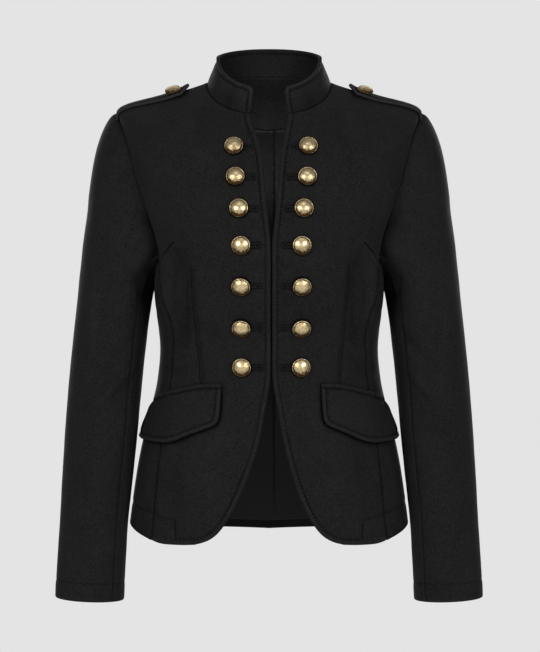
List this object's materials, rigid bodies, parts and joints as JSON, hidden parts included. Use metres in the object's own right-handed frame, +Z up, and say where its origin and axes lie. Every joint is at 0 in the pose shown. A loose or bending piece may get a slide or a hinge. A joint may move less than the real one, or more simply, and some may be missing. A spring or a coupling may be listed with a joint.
{
  "type": "military-style blazer",
  "caption": "Fitted women's blazer in worn form, open at neck, hem and cuffs, with stand collar, shoulder straps, pocket flaps and domed brass buttons.",
  "frame": {"origin": "between the wearer's shoulders at the foot of the neck, level with the neck points", "axes": "+Z up, -Y out of the jacket's front, +X to the wearer's left"},
  "size_m": [0.545, 0.2523, 0.7132],
  "materials": {
    "shell_cloth": "matte black fine weave",
    "lining_cloth": "smooth black lining",
    "brass": "antique brass, satin"
  },
  "bodies": {
    "root": {"front_right": "shell_cloth", "side_right": "shell_cloth", "back_right": "shell_cloth", "sleeve_top_right": "shell_cloth", "sleeve_under_right": "shell_cloth", "pocket_flap_right": "shell_cloth", "pocket_welt_right": "shell_cloth", "epaulette_right": "shell_cloth", "button_right_1": "brass", "button_right_2": "brass", "button_right_3": "brass", "button_right_4": "brass", "button_right_5": "brass", "button_right_6": "brass", "button_right_7": "brass", "button_epaulette_right": "brass", "front_left": "shell_cloth", "side_left": "shell_cloth", "back_left": "shell_cloth", "sleeve_top_left": "shell_cloth", "sleeve_under_left": "shell_cloth", "pocket_flap_left": "shell_cloth", "pocket_welt_left": "shell_cloth", "epaulette_left": "shell_cloth", "button_left_1": "brass", "button_left_2": "brass", "button_left_3": "brass", "button_left_4": "brass", "button_left_5": "brass", "button_left_6": "brass", "button_left_7": "brass", "button_epaulette_left": "brass", "collar": "shell_cloth", "back_neck_facing": "shell_cloth", "back_lining": "lining_cloth"}
  },
  "joints": []
}
